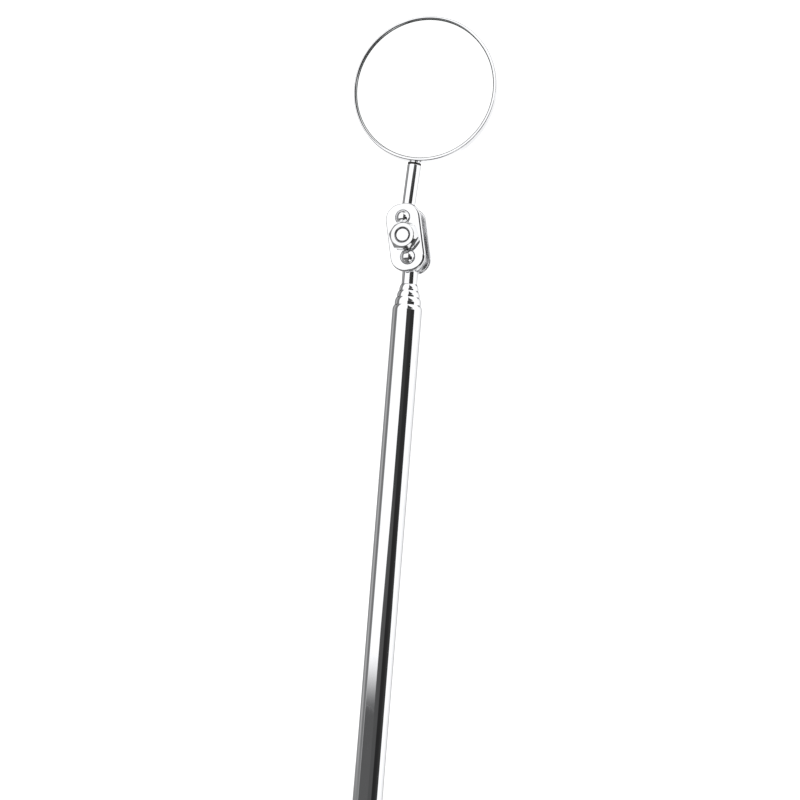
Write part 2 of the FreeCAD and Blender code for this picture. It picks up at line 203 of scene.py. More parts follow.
class Outline:
    """A chain of lines and arcs in the (radius, height) plane, with the solid on its left."""

    def __init__(self, radius, height):
        self.here = (radius, height)
        self.spans = []

    def line(self, radius, height, parts=1):
        (r0, z0), (r1, z1) = self.here, (radius, height)
        length = math.hypot(r1 - r0, z1 - z0)
        normal = ((z1 - z0) / length, (r0 - r1) / length)
        for i in range(parts):
            a, b = i / parts, (i + 1) / parts
            start = (r0 + (r1 - r0) * a, z0 + (z1 - z0) * a)
            end = (r0 + (r1 - r0) * b, z0 + (z1 - z0) * b)
            self.spans.append((start, normal, end, normal))
        self.here = (radius, height)
        return self

    def arc(self, centre, radius, start, end, parts=12):
        """An arc about a centre, from one angle to another; it bulges out if the angle grows."""
        side = 1 if end > start else -1
        previous = None
        for i in range(parts + 1):
            angle = math.radians(start + (end - start) * i / parts)
            direction = (math.cos(angle), math.sin(angle))
            point = (centre[0] + radius * direction[0], centre[1] + radius * direction[1])
            normal = (side * direction[0], side * direction[1])
            if previous:
                self.spans.append((*previous, point, normal))
            previous = (point, normal)
        self.here = previous[0]
        return self

    def shoulder(self, radius, height, upright_at_start=True, parts=16):
        """An arc to a point, upright at its start or at its end."""
        start, end = self.here, (radius, height)
        upright, other = (start, end) if upright_at_start else (end, start)
        inward, rise = upright[0] - other[0], other[1] - upright[1]
        size = (rise ** 2 + inward ** 2) / (2 * inward)
        turn = math.degrees(2 * math.atan2(inward, rise))
        centre = (upright[0] - size, upright[1])
        if upright_at_start:
            return self.arc(centre, size, 0, turn, parts)
        return self.arc(centre, size, turn, 0, parts)


def circle_path(segments=TURN_SEGMENTS):
    """Round a circle about the axis: (x, y, and the outward direction) at each point."""
    turns = [2 * math.pi * i / segments for i in range(segments)]
    return [(0, 0, math.cos(turn), math.sin(turn)) for turn in turns]


def plate_path(corner_parts=32, side_parts=4):
    """Round a plate's outline: four corner arcs, joined by straight sides."""
    across = PLATE_WIDTH / 2 - PLATE_CORNER_RADIUS
    along = PLATE_LENGTH / 2 - PLATE_CORNER_RADIUS
    corners = ((across, along), (-across, along), (-across, -along), (across, -along))
    path = []
    for quadrant, (x, y) in enumerate(corners):
        next_x, next_y = corners[(quadrant + 1) % 4]
        for part in range(corner_parts):
            turn = math.pi / 2 * (quadrant + part / corner_parts)
            path.append((x, y, math.cos(turn), math.sin(turn)))
        turn = math.pi / 2 * (quadrant + 1)
        for part in range(side_parts):
            share = part / side_parts
            path.append((x + (next_x - x) * share, y + (next_y - y) * share, math.cos(turn), math.sin(turn)))
    return path


class Builder:
    """Collects points and faces with the exact surface normal at each face corner."""

    def __init__(self):
        self.points = []
        self.faces = []
        self.normals = []
        self.materials = []

    def point(self, x, y, z):
        self.points.append((x * MM, y * MM, z * MM))
        return len(self.points) - 1

    def face(self, corners, normals, material=0):
        kept = [i for i, corner in enumerate(corners) if corner != corners[i - 1]]
        if len(kept) > 2:
            self.faces.append([corners[i] for i in kept])
            self.normals += [normals[i] for i in kept]
            self.materials.append(material)

    def ring(self, path, radius, height, centre=(0, 0)):
        if radius < 1e-9:
            return [self.point(*centre, height)] * len(path)
        return [self.point(centre[0] + x + u * radius, centre[1] + y + v * radius, height)
                for x, y, u, v in path]

    def sweep(self, outline, path, centre=(0, 0), closed=True, first=None, last=None, material=0):
        """Carries an outline round a path; returns its first and last rings."""
        spans = outline.spans
        start = first or self.ring(path, *spans[0][0], centre)
        below = start
        for number, (_, normal_0, end, normal_1) in enumerate(spans):
            final = number == len(spans) - 1
            if final and (closed or last):
                above = start if closed else last
            else:
                above = self.ring(path, *end, centre)
            for i in range(len(path)):
                j = (i + 1) % len(path)
                (ui, vi), (uj, vj) = path[i][2:], path[j][2:]
                self.face(
                    [below[i], below[j], above[j], above[i]],
                    [(ui * normal_0[0], vi * normal_0[0], normal_0[1]),
                     (uj * normal_0[0], vj * normal_0[0], normal_0[1]),
                     (uj * normal_1[0], vj * normal_1[0], normal_1[1]),
                     (ui * normal_1[0], vi * normal_1[0], normal_1[1])],
                    material)
            below = above
        return start, below

    def cap(self, rings, normal, material=0):
        """Fills a flat face between its outer ring and the rings of its holes."""
        loops = [[Vector(self.points[i]) / MM for i in ring] for ring in rings]
        corners = [i for ring in rings for i in ring]
        for triangle in tessellate_polygon(loops):
            chosen = [corners[i] for i in triangle]
            a, b, c = (Vector(self.points[i]) for i in chosen)
            if (b - a).cross(c - a).dot(Vector(normal)) < 0:
                chosen.reverse()
            self.face(chosen, [normal] * 3, material)

    def build(self, name, body, nodes, place, materials):
        mesh = bpy.data.meshes.new(name)
        mesh.from_pydata(self.points, [], self.faces)
        mesh.update()
        mesh.shade_smooth()
        for polygon, material in zip(mesh.polygons, self.materials):
            polygon.material_index = material
        mesh.normals_split_custom_set(self.normals)
        return add_piece(name, mesh, body, nodes, place, materials)


def add_piece(name, mesh, body, nodes, place, materials):
    """Puts a mesh in its place, as a piece that rides a body and stands for CAD nodes."""
    piece = bpy.data.objects.new(name, mesh)
    for material in materials:
        mesh.materials.append(material)
    bpy.context.scene.collection.objects.link(piece)
    mesh.transform(place)
    mesh.update()
    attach(piece, body)
    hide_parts(*nodes)
    return piece


# ---------------------------------------------------------------- materials

class Tree:
    """Short names for making and joining shader nodes; own_frame is the piece's own frame."""

    def __init__(self, owner, own_frame=Matrix.Identity(4)):
        self.own_frame = own_frame
        owner.use_nodes = True
        self.tree = owner.node_tree
        self.tree.nodes.clear()

    def node(self, kind, inputs=None, **settings):
        node = self.tree.nodes.new(kind)
        for key, value in settings.items():
            setattr(node, key, value)
        for key, value in (inputs or {}).items():
            self.feed(node.inputs[key], value)
        return node

    def feed(self, socket, value):
        if isinstance(value, bpy.types.NodeSocket):
            self.tree.links.new(value, socket)
        else:
            socket.default_value = value

    def math(self, operation, *values):
        return self.node("ShaderNodeMath", dict(enumerate(values)), operation=operation).outputs[0]

    def ramp(self, value, stops, smooth=False):
        """Grey by value: stops are (place from 0 to 1, grey or colour)."""
        node = self.node("ShaderNodeValToRGB", {0: value})
        node.color_ramp.interpolation = "EASE" if smooth else "LINEAR"
        elements = node.color_ramp.elements
        elements.remove(elements[0])
        for number, (place, shade) in enumerate(stops):
            element = elements[0] if number == 0 else elements.new(place)
            element.position = place
            element.color = (*shade, 1) if isinstance(shade, tuple) else (shade, shade, shade, 1)
        return node.outputs[0]

    def table(self, value, low, high, stops, smooth=False):
        """Grey by value, for stops given in the value's own units."""
        scaled = self.node("ShaderNodeMapRange", {0: value, 1: low, 2: high, 3: 0.0, 4: 1.0}).outputs[0]
        return self.ramp(scaled, [((x - low) / (high - low), y) for x, y in stops], smooth)

    def step(self, value, edge, softness):
        """0 below an edge and 1 above it."""
        low = self.math("SUBTRACT", edge, softness)
        high = self.math("ADD", edge, softness)
        return self.node("ShaderNodeMapRange", {0: value, 1: low, 2: high, 3: 0.0, 4: 1.0},
                         interpolation_type="SMOOTHSTEP").outputs[0]

    def below(self, value, edge, softness):
        """1 below an edge and 0 above it."""
        return self.math("SUBTRACT", 1.0, self.step(value, edge, softness))

    def window(self, value, low, high, softness):
        """1 between two edges and 0 outside them."""
        return self.math("MULTIPLY", self.step(value, low, softness), self.below(value, high, softness))

    def mix(self, factor, a, b):
        """Colours or greys mixed by a factor."""
        node = self.node("ShaderNodeMix", data_type="RGBA")
        self.feed(node.inputs[0], factor)
        for socket, value in ((node.inputs[6], a), (node.inputs[7], b)):
            if isinstance(value, (int, float)):
                value = (value, value, value, 1)
            self.feed(socket, value)
        return node.outputs[2]

    def place(self, scale):
        """The piece's own coordinates, in metres, stretched."""
        coordinates = self.node("ShaderNodeTexCoord").outputs["Object"]
        own = self.node("ShaderNodeMapping", {
            "Vector": coordinates, "Location": self.own_frame.to_translation(),
            "Rotation": self.own_frame.to_euler()}, vector_type="TEXTURE").outputs[0]
        return self.node("ShaderNodeMapping", {"Vector": own, "Scale": scale}).outputs[0]

    def noise(self, scale, detail=3.0, roughness=0.55, vector_scale=(1, 1, 1)):
        return self.node("ShaderNodeTexNoise", {
            "Vector": self.place(vector_scale), "Scale": scale, "Detail": detail,
            "Roughness": roughness}).outputs[0]


def metal(name, colour, roughness, grain_scale, grain_stretch, grain_height,
          waviness=0.0, wave_scale=160.0, wave_stretch=(1, 1, 1), smudge=0.03, tarnish=0.06,
          own_frame=Matrix.Identity(4)):
    """Polished metal: fine marks of the tool that made it, slow waves, faint smudges and scratches."""
    material = bpy.data.materials.new(name)
    tree = Tree(material, own_frame)
    grain = tree.noise(grain_scale, 2.0, 0.6, grain_stretch)
    waves = tree.noise(wave_scale, 1.0, 0.5, wave_stretch)
    patches = tree.noise(240.0, 4.0, 0.6)
    scratches = tree.node("ShaderNodeTexVoronoi", {
        "Vector": tree.place((1.0, 1.0, 0.12)), "Scale": 900.0}, feature="DISTANCE_TO_EDGE").outputs[0]
    scratch = tree.node("ShaderNodeMapRange", {0: scratches, 1: 0.0, 2: 0.012, 3: 1.0, 4: 0.0}).outputs[0]
    patch = tree.node("ShaderNodeMapRange", {0: patches, 1: 0.5, 2: 0.75, 3: 0.0, 4: 1.0}).outputs[0]
    spread = tree.math("MULTIPLY_ADD", patch, smudge, roughness)
    spread = tree.math("MULTIPLY_ADD", scratch, smudge * 1.5, spread)
    dull = tuple(c * (1 - tarnish) for c in colour)
    shade = tree.mix(patch, (*colour, 1), (*dull, 1))
    height = tree.math("MULTIPLY", grain, grain_height)
    height = tree.math("MULTIPLY_ADD", waves, waviness, height)
    bump = tree.node("ShaderNodeBump", {"Strength": 1.0, "Distance": 0.001, "Height": height})
    shader = tree.node("ShaderNodeBsdfPrincipled", {
        "Base Color": shade, "Metallic": 1.0, "Roughness": spread, "Normal": bump.outputs[0]})
    tree.node("ShaderNodeOutputMaterial", {0: shader.outputs[0]})
    return material


def make_materials():
    chrome = (0.90, 0.905, 0.915)
    made = {}
    made["tube"] = metal("tube_chrome", chrome, 0.035, 2600.0, (1, 1, 0.01), 0.0006,
                         0.004, 260.0, (1, 1, 0.25))
    turning = (9000.0, (0.02, 0.02, 1), 0.0003)
    made["turned"] = metal("turned_chrome", chrome, 0.04, *turning)
    made["stem"] = metal("stem_chrome", chrome, 0.04, *turning, own_frame=ON_STEM)
    made["plate"] = metal("plate_chrome", chrome, 0.05, 3000.0, (1, 0.2, 1), 0.0004, 0.012, 420.0,
                          own_frame=IN_LINK)
    made["plate_back"] = metal("plate_inside", (0.7, 0.7, 0.71), 0.24, 3000.0, (1, 0.1, 1), 0.0005,
                               smudge=0.06, tarnish=0.15, own_frame=IN_LINK)
    made["fastener"] = metal("fastener_chrome", (0.86, 0.865, 0.87), 0.08, 5000.0, (1, 1, 0.3), 0.0008,
                             0.008, 700.0, smudge=0.06, tarnish=0.12, own_frame=IN_LINK)
    # bare thread steel, darkened further as painted shade in the nut's bore and the thread's grooves
    made["thread"] = metal("thread_steel_and_painted_shade", (0.3, 0.3, 0.31), 0.3, 5000.0, (0.2, 0.2, 1), 0.002,
                           smudge=0.1, tarnish=0.3, own_frame=IN_LINK)
    # near-black metal, painted shade: the recessed gap under the stem's top and the dark ring round the
    # glass
    made["joint"] = metal("painted_gap_shade", (0.05, 0.048, 0.045), 0.35, 5000.0, (1, 1, 1), 0.004,
                          smudge=0.1, tarnish=0.3, own_frame=ON_STEM)
    made["frame"] = metal("frame_chrome", chrome, 0.045, 5200.0, (0.05, 0.05, 1), 0.0006, 0.006, 300.0,
                          own_frame=IN_MIRROR)
    made["mirror"] = metal("mirror_silver", (0.955, 0.965, 0.96), 0.004, 300.0, (1, 1, 1), 0.0,
                           smudge=0.004, tarnish=0.01, own_frame=IN_MIRROR)
    made["brass"] = metal("brass_turned", (0.78, 0.6, 0.28), 0.22, 6000.0, (0.02, 0.02, 1), 0.004,
                          smudge=0.1, tarnish=0.25)
    made["bronze"] = metal("bronze_strip", (0.68, 0.44, 0.26), 0.3, 3000.0, (1, 1, 0.05), 0.004,
                           smudge=0.1, tarnish=0.3)
    return made


def make_ground_glass():
    """The glass disc's ground edge."""
    material = bpy.data.materials.new("glass_edge")
    tree = Tree(material, IN_MIRROR)
    speckle = tree.noise(4000.0, 3.0)
    shade = tree.mix(speckle, (0.32, 0.4, 0.37, 1), (0.52, 0.6, 0.57, 1))
    bump = tree.node("ShaderNodeBump", {"Strength": 0.6, "Distance": 0.00003, "Height": speckle})
    shader = tree.node("ShaderNodeBsdfPrincipled", {
        "Base Color": shade, "Roughness": 0.55, "Normal": bump.outputs[0]})
    tree.node("ShaderNodeOutputMaterial", {0: shader.outputs[0]})
    return material


def make_foam():
    """Closed-cell foam tape."""
    material = bpy.data.materials.new("foam_tape")
    tree = Tree(material)
    cells = tree.node("ShaderNodeTexVoronoi", {"Vector": tree.place((1, 1, 1)), "Scale": 3500.0}).outputs[0]
    shade = tree.mix(cells, (0.02, 0.02, 0.022, 1), (0.05, 0.05, 0.052, 1))
    bump = tree.node("ShaderNodeBump", {"Strength": 0.8, "Distance": 0.0001, "Height": cells})
    shader = tree.node("ShaderNodeBsdfPrincipled", {
        "Base Color": shade, "Roughness": 0.85, "Normal": bump.outputs[0]})
    tree.node("ShaderNodeOutputMaterial", {0: shader.outputs[0]})
    return material


# ---------------------------------------------------------------- pieces

def make_tube(node, body, outer, bottom, top, mouth, look):
    """A drawn tube, its neck rolled in at the mouth and, on an inner section, a bead near its bottom."""
    bore = outer - TUBE_WALL
    outline = Outline(bore, bottom).line(outer, bottom)
    if bottom > 0:
        bead_top = bottom + BEAD_TOP
        chord, rise = BEAD_LENGTH / 2, BEAD_HEIGHT
        size = (chord ** 2 + rise ** 2) / (2 * rise)
        sweep = math.degrees(math.asin(chord / size))
        outline.line(outer, bead_top - BEAD_LENGTH)
        outline.arc((outer + rise - size, bead_top - chord), size, -sweep, sweep, 10)
    if mouth:
        outline.line(outer, top - NECK_LENGTH, 4).shoulder(mouth + LIP_WIDTH, top)
        outline.line(mouth, top).line(mouth, top - NECK_LAND)
        outline.shoulder(bore, top - NECK_LENGTH, upright_at_start=False)
    else:
        outline.line(outer, top - ROD_END_ROUND, 4)
        outline.arc((outer - ROD_END_ROUND, top - ROD_END_ROUND), ROD_END_ROUND, 0, 90, 8)
        outline.line(bore, top)
    outline.line(bore, bottom)
    builder = Builder()
    builder.sweep(outline, circle_path())
    return builder.build(f"{node}_turned", body, [node], IN_PLACE, [look])


def make_butt_plug(look):
    """The plug in the handle's bottom end, domed outside."""
    rim, bore = HANDLE_RADIUS, HANDLE_RADIUS - TUBE_WALL
    rim_height, dome_height, top, chamfer = 0.6, 0.9, 7.95, 0.4
    size = (rim ** 2 + dome_height ** 2) / (2 * dome_height)
    half = math.degrees(math.asin(rim / size))
    outline = Outline(0, -rim_height - dome_height)
    outline.arc((0, size - rim_height - dome_height), size, -90, -90 + half, 24)
    outline.line(rim, 0).line(bore, 0).line(bore, top - chamfer)
    outline.line(bore - chamfer, top).line(0, top)
    builder = Builder()
    builder.sweep(outline, circle_path(), closed=False)
    return builder.build("butt_plug_domed", "handle", ["butt_plug"], IN_PLACE, [look])


def add_bosses(builder, place):
    """Adds the domed bosses on which a ball swings in the plates, on both sides of the ball."""
    dome_height = PLATE_OUTER_FACE - BOSS_DEPTH
    outline = Outline(0, BOSS_ROOT).line(BOSS_RADIUS, BOSS_ROOT).line(BOSS_RADIUS, dome_height)
    outline.arc((0, dome_height), BOSS_RADIUS, 0, 90, 32)
    screw_axis = place.to_3x3().inverted() @ SCREW_AXIS
    for side in (1, -1):
        turn = UP.rotation_difference(screw_axis * side).to_matrix()
        boss = Builder()
        boss.sweep(outline, circle_path(HOLE_SEGMENTS), closed=False)
        offset = len(builder.points)
        builder.points += [tuple(turn @ Vector(point)) for point in boss.points]
        builder.faces += [[offset + corner for corner in face] for face in boss.faces]
        builder.normals += [tuple(turn @ Vector(normal)) for normal in boss.normals]
        builder.materials += boss.materials


def make_lower_ball(look):
    """The ball with its neck and the shank that fits in the rod."""
    neck, shank, shank_length = 1.2, 1.58, 6.0
    shank_bottom = -BALL_TO_ROD - shank_length
    junction = -math.degrees(math.acos(neck / BALL_RADIUS))
    outline = Outline(0, shank_bottom).line(shank, shank_bottom).line(shank, -BALL_TO_ROD)
    outline.line(neck, -BALL_TO_ROD).line(neck, BALL_RADIUS * math.sin(math.radians(junction)))
    outline.arc((0, 0), BALL_RADIUS, junction, 90, 64)
    builder = Builder()
    builder.sweep(outline, circle_path(), closed=False)
    add_bosses(builder, AT_LOWER_BALL)
    return builder.build("lower_ball_stud", "section_5", ["lower_ball"], AT_LOWER_BALL,
                         [look])


def make_upper_ball(look):
    """The ball with a bore for the stem's neck."""
    bore, bore_bottom = 1.12, -0.8
    mouth = math.degrees(math.acos(bore / BALL_RADIUS))
    outline = Outline(0, -BALL_RADIUS).arc((0, 0), BALL_RADIUS, -90, mouth, 64)
    outline.line(bore, bore_bottom).line(0, bore_bottom)
    builder = Builder()
    builder.sweep(outline, circle_path(), closed=False)
    add_bosses(builder, ON_STEM)
    return builder.build("upper_ball_bored", "upper_ball", ["upper_ball"], ON_STEM, [look])


def make_stem(look, gap_shade_look):
    """The stem, with a near-black band of painted shade in the recessed gap where it meets the frame."""
    neck, low, high, spigot = 1.1, 1.5, 1.58, 1.2
    shoulder_round, end_round = 0.3, 0.12
    joint_height, joint_inset, joint_gap, joint_step = 0.62, 0.05, 0.2, 0.02
    neck_bottom, end_gap = -0.75, 0.15
    top = BALL_TO_MIRROR - FRAME_RADIUS - end_gap
    chrome_top = top - joint_height
    inside = BALL_TO_MIRROR - FRAME_RADIUS + FRAME_SHEET / 2
    outline = Outline(0, neck_bottom).line(neck, neck_bottom).line(neck, BALL_TO_STEM)
    outline.line(low - shoulder_round, BALL_TO_STEM)
    outline.arc((low - shoulder_round, BALL_TO_STEM + shoulder_round), shoulder_round, -90, 0)
    outline.line(high, chrome_top - end_round, 4)
    outline.arc((high - end_round, chrome_top - end_round), end_round, 0, 90, 8)
    joint = Outline(*outline.here).line(high - joint_inset - end_round / 2, chrome_top + joint_step)
    joint.line(high - joint_inset, top - joint_gap).line(spigot, top - joint_gap)
    end = Outline(*joint.here).line(spigot, inside).line(0, inside)
    builder = Builder()
    path = circle_path()
    _, ring = builder.sweep(outline, path, closed=False)
    # the recessed band under the frame takes the near-black material: painted shade in the gap
    _, ring = builder.sweep(joint, path, closed=False, first=ring, material=1)
    builder.sweep(end, path, closed=False, first=ring)
    return builder.build("stem_turned", "mirror_head", ["stem"], ON_STEM, [look, gap_shade_look])


def make_frame(look):
    """The pressed pan, its rim rolled in over the glass."""
    back, front = -FRAME_DEPTH / 2, FRAME_DEPTH / 2
    inside = FRAME_RADIUS - FRAME_SHEET
    back_inner = BACK_ROUND - FRAME_SHEET
    outline = Outline(0, back).line(FRAME_RADIUS - BACK_ROUND, back, 6)
    outline.arc((FRAME_RADIUS - BACK_ROUND, back + BACK_ROUND), BACK_ROUND, -90, 0, 16)
    outer_slope, inner_slope = (90 + slope for slope in RIM_SLOPE)
    outline.line(FRAME_RADIUS, front - RIM_ROUND)
    outline.arc((FRAME_RADIUS - RIM_ROUND, front - RIM_ROUND), RIM_ROUND, 0, outer_slope, 12)
    edge_radius, edge_height = outline.here
    cos_outer, sin_outer = math.cos(math.radians(outer_slope)), math.sin(math.radians(outer_slope))
    cos_inner, sin_inner = math.cos(math.radians(inner_slope)), math.sin(math.radians(inner_slope))
    fall_radius = (edge_radius - LIP_INNER_RADIUS - LIP_ROUND * (1 + cos_inner)) / (cos_outer - cos_inner)
    centre = (edge_radius - fall_radius * cos_outer, edge_height - fall_radius * sin_outer)
    outline.arc(centre, fall_radius, outer_slope, inner_slope, 12)
    lip_radius, lip_height = outline.here
    outline.arc((lip_radius - LIP_ROUND * cos_inner, lip_height - LIP_ROUND * sin_inner), LIP_ROUND,
                inner_slope, 180, 6)
    outline.line(LIP_INNER_RADIUS, front - FRAME_SHEET).line(inside, front - FRAME_SHEET)
    outline.line(inside, back + BACK_ROUND)
    outline.arc((inside - back_inner, back + BACK_ROUND), back_inner, 0, -90, 8)
    outline.line(0, back + FRAME_SHEET, 4)
    builder = Builder()
    builder.sweep(outline, circle_path(FRAME_SEGMENTS), closed=False)
    return builder.build("mirror_frame_spun", "mirror_head", ["mirror_frame"], IN_MIRROR,
                         [look])


def make_glass(look, edge_look, shadow_line_look):
    """The silvered disc, its ground edge, and a dark ring of painted shadow where the glass meets the rim.
    """
    front = FRAME_DEPTH / 2 - FRAME_SHEET
    back = front - GLASS_THICKNESS
    face = GLASS_RADIUS - GLASS_CHAMFER
    edge = Outline(face, back).line(GLASS_RADIUS, back + GLASS_CHAMFER)
    edge.line(GLASS_RADIUS, front - GLASS_CHAMFER).line(face, front)
    builder = Builder()
    path = circle_path(FRAME_SEGMENTS)
    low_ring, high_ring = builder.sweep(edge, path, closed=False, material=1)
    builder.sweep(Outline(0, back).line(face, back), path, closed=False, last=low_ring)
    # the dark ring just inside the rim is painted shadow, standing for the shade line under the lip
    shadow_line = Outline(face, front).line(SHADOW_LINE_RADIUS, front)
    _, shadow_line_ring = builder.sweep(shadow_line, path, closed=False, first=high_ring, material=2)
    builder.sweep(Outline(SHADOW_LINE_RADIUS, front).line(0, front), path, closed=False, first=shadow_line_ring)
    return builder.build("mirror_disc", "mirror_head", ["mirror_glass"], IN_MIRROR,
                         [look, edge_look, shadow_line_look])


def plate_rim(builder, inner, outer):
    """The plate's edge, rounded at both faces, more so on the right; returns the faces' rings."""
    path = plate_path()
    parts = 16
    rings, normals = [], []
    for face, side, steps in ((inner, -1, range(parts, -1, -1)), (outer, 1, range(parts + 1))):
        for step in steps:
            turn = math.pi / 2 * step / parts
            ring, ring_normals = [], []
            for x, y, u, v in path:
                wear = 1 - (1 - max(0, u)) ** 2
                across = PLATE_EDGE_ROUND + PLATE_EDGE_WEAR * wear * (1 - PLATE_WEAR_SKEW * v)
                across -= PLATE_ROUND_SKEW * v
                drop = PLATE_EDGE_DROP + PLATE_EDGE_DROP_WEAR * wear
                radius = PLATE_CORNER_RADIUS - across * (1 - math.cos(turn))
                height = face - side * drop * (1 - math.sin(turn))
                ring.append(builder.point(x + u * radius, y + v * radius, height))
                flat, up = drop * math.cos(turn), across * math.sin(turn)
                size = math.hypot(flat, up)
                ring_normals.append((u * flat / size, v * flat / size, side * up / size))
            rings.append(ring)
            normals.append(ring_normals)
    for lower, upper, low, high in zip(rings, rings[1:], normals, normals[1:]):
        for i in range(len(path)):
            j = (i + 1) % len(path)
            builder.face([lower[i], lower[j], upper[j], upper[i]], [low[i], low[j], high[j], high[i]])
    return rings[0], rings[-1]


def make_plate(side, look, inner_look):
    """A pressed clamp plate with two ball holes, their seats, and the screw's hole."""
    inner, outer = PLATE_OUTER_FACE - PLATE_THICKNESS, PLATE_OUTER_FACE
    builder = Builder()
    back_ring, front_ring = plate_rim(builder, inner, outer)
    fronts, backs = [front_ring], [back_ring]
    seat_mouth = math.sqrt(SEAT_RADIUS ** 2 - inner ** 2)
    seat_top = math.sqrt(SEAT_RADIUS ** 2 - BALL_HOLE_RADIUS ** 2)
    for centre_y, radius in ((BALL_SPACING / 2, BALL_HOLE_RADIUS), (-BALL_SPACING / 2, BALL_HOLE_RADIUS),
                             (0, SCREW_HOLE_RADIUS)):
        hole = Outline(radius + HOLE_EDGE_ROUND, outer)
        hole.arc((radius + HOLE_EDGE_ROUND, outer - HOLE_EDGE_ROUND), HOLE_EDGE_ROUND, 90, 180, 8)
        if centre_y:
            hole.line(radius, seat_top)
            high = math.degrees(math.atan2(seat_top, radius))
            low = math.degrees(math.atan2(inner, seat_mouth))
            hole.arc((0, 0), SEAT_RADIUS, high, low, 6)
        else:
            hole.line(radius, inner)
        top_ring, low_ring = builder.sweep(hole, circle_path(HOLE_SEGMENTS), (0, centre_y), closed=False)
        fronts.append(top_ring)
        backs.append(low_ring)
    builder.cap(fronts, (0, 0, 1))
    builder.cap(backs, (0, 0, -1), 1)
    name = "front_plate" if side > 0 else "rear_plate"
    place = IN_LINK if side > 0 else IN_LINK @ Matrix.Rotation(math.pi, 4, "Y")
    return builder.build(f"{name}_pressed", "link", [name], place, [look, inner_look])


def make_nut(look, bore_shade_look):
    """A hexagon nut, crowned at both faces, with a plain bore countersunk at its ends."""
    builder = Builder()
    apothem = NUT_ACROSS_FLATS / 2
    corner = NUT_ACROSS_FLATS / math.sqrt(3)
    slope = math.radians(NUT_CROWN_SLOPE)
    cone_start = NUT_FACE_RADIUS + NUT_CROWN_ROUND * math.sin(slope)
    cone_drop = NUT_CROWN_ROUND * (1 - math.cos(slope))
    side_parts, round_parts = 24, 8
    columns = []
    for face in range(6):
        middle = math.radians(NUT_TURN + 60 * face + 120)
        for part in range(side_parts):
            offset = math.radians(60 * part / side_parts - 30)
            columns.append((middle + offset, apothem / math.cos(offset), middle))
    # each level: tilt of the surface from the flat face, radius, and drop below the face
    levels = []
    for step in range(round_parts + 1):
        tilt = slope * step / round_parts
        levels.append((tilt, NUT_FACE_RADIUS + NUT_CROWN_ROUND * math.sin(tilt),
                       NUT_CROWN_ROUND * (1 - math.cos(tilt))))
    count = len(columns)
    for face_height, side in ((NUT_TOP, 1), (NUT_BOTTOM, -1)):
        rings = []
        for tilt, radius, drop in levels:
            rings.append([builder.point(math.cos(turn) * radius, math.sin(turn) * radius,
                                        face_height - side * drop) for turn, _, _ in columns])
        rings.append([builder.point(
            math.cos(turn) * reach, math.sin(turn) * reach,
            face_height - side * (cone_drop + (reach - cone_start) * math.tan(slope)))
            for turn, reach, _ in columns])
        tilts = [tilt for tilt, _, _ in levels] + [slope]
        for k in range(len(rings) - 1):
            for i in range(count):
                j = (i + 1) % count
                around = [(i, k + 1), (j, k + 1), (j, k), (i, k)][::side]
                builder.face([rings[level][column] for column, level in around],
                             [(math.cos(columns[column][0]) * math.sin(tilts[level]),
                               math.sin(columns[column][0]) * math.sin(tilts[level]),
                               side * math.cos(tilts[level])) for column, level in around])
        if side > 0:
            top_flat, top_edge = rings[0], rings[-1]
        else:
            bottom_flat, bottom_edge = rings[0], rings[-1]
    for i in range(count):
        j = (i + 1) % count
        flat = (math.cos(columns[i][2]), math.sin(columns[i][2]), 0)
        builder.face([bottom_edge[i], bottom_edge[j], top_edge[j], top_edge[i]], [flat] * 4)
    cone = NUT_BORE_MOUTH - NUT_BORE_RADIUS
    bore = Outline(NUT_BORE_MOUTH, NUT_TOP).line(NUT_BORE_RADIUS, NUT_TOP - cone)
    bore.line(NUT_BORE_RADIUS, NUT_BOTTOM + cone, 3).line(NUT_BORE_MOUTH, NUT_BOTTOM)
    # the bore takes the darkened thread steel: painted shade round the screw's end
    top_ring, bottom_ring = builder.sweep(bore, circle_path(HOLE_SEGMENTS), closed=False, material=1)
    builder.cap([top_flat, top_ring], (0, 0, 1))
    builder.cap([bottom_flat, bottom_ring], (0, 0, -1))
    return builder.build("clamp_nut_hex", "nut", ["clamp_nut"], IN_LINK,
                         [look, bore_shade_look])


